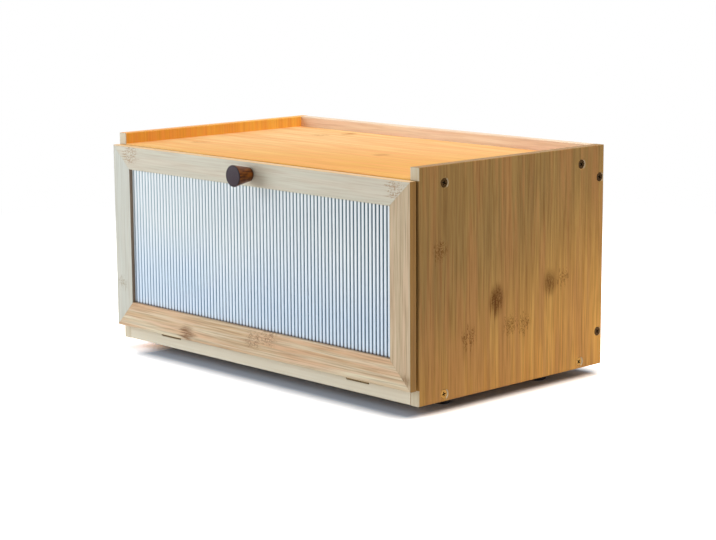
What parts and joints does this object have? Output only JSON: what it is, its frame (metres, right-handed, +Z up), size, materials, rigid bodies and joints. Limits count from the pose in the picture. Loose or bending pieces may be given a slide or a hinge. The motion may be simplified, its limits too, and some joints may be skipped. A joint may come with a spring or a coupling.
{
  "type": "bread box with drop-down door",
  "caption": "Free-standing bamboo bread box with a low gallery round its top, and a drop-down framed door with a reeded clear pane and a turned knob.",
  "frame": {"origin": "on the worktop, below the middle of the whole object with its door closed", "axes": "+X to the right as seen from the door, +Y from the door to the back, +Z up"},
  "size_m": [0.4, 0.2608, 0.208],
  "materials": {
    "bamboo_board": "laminated bamboo strips, sanded, clear satin lacquer",
    "bamboo_door_frame": "paler laminated bamboo strips, sanded, clear satin lacquer",
    "reeded_acrylic": "clear extruded acrylic, reeded outside and smooth inside",
    "dark_walnut": "turned, dark stained, satin",
    "passivated_screw_steel": "yellow-passivated zinc plating, darkened, cross recess",
    "antique_bronze": "rolled sheet, antique bronze plating",
    "zinc_plated_steel": "zinc plated, satin",
    "ferrite_magnet": "sintered, matte dark grey",
    "brown_catch_plastic": "moulded, fine matte",
    "black_rubber": "moulded, matte"
  },
  "bodies": {
    "carcass": {"left_side_panel": "bamboo_board", "right_side_panel": "bamboo_board", "top_panel": "bamboo_board", "bottom_panel": "bamboo_board", "back_panel": "bamboo_board", "left_side_screws": "passivated_screw_steel", "right_side_screws": "passivated_screw_steel", "left_hinge_fixed_leaf": "antique_bronze", "right_hinge_fixed_leaf": "antique_bronze", "left_hinge_pin": "antique_bronze", "right_hinge_pin": "antique_bronze", "fixed_leaf_screws": "antique_bronze", "catch_pole_plates": "zinc_plated_steel", "catch_screws": "zinc_plated_steel", "catch_magnet": "ferrite_magnet", "catch_housing": "brown_catch_plastic", "front_feet": "black_rubber", "rear_feet": "black_rubber"},
    "door": {"door_top_rail": "bamboo_door_frame", "door_bottom_rail": "bamboo_door_frame", "door_left_stile": "bamboo_door_frame", "door_right_stile": "bamboo_door_frame", "fluted_window_pane": "reeded_acrylic", "knob": "dark_walnut", "knob_screw": "zinc_plated_steel", "left_hinge_moving_leaf": "antique_bronze", "right_hinge_moving_leaf": "antique_bronze", "moving_leaf_screws": "antique_bronze", "strike_plate": "zinc_plated_steel", "strike_screw": "zinc_plated_steel"}
  },
  "joints": [
    {"name": "door_hinge", "type": "hinge", "parent": "carcass", "child": "door", "pos_m": [0, -0.10225, 0.0213], "axis": [1, 0, 0], "range_deg": [0, 87]}
  ]
}
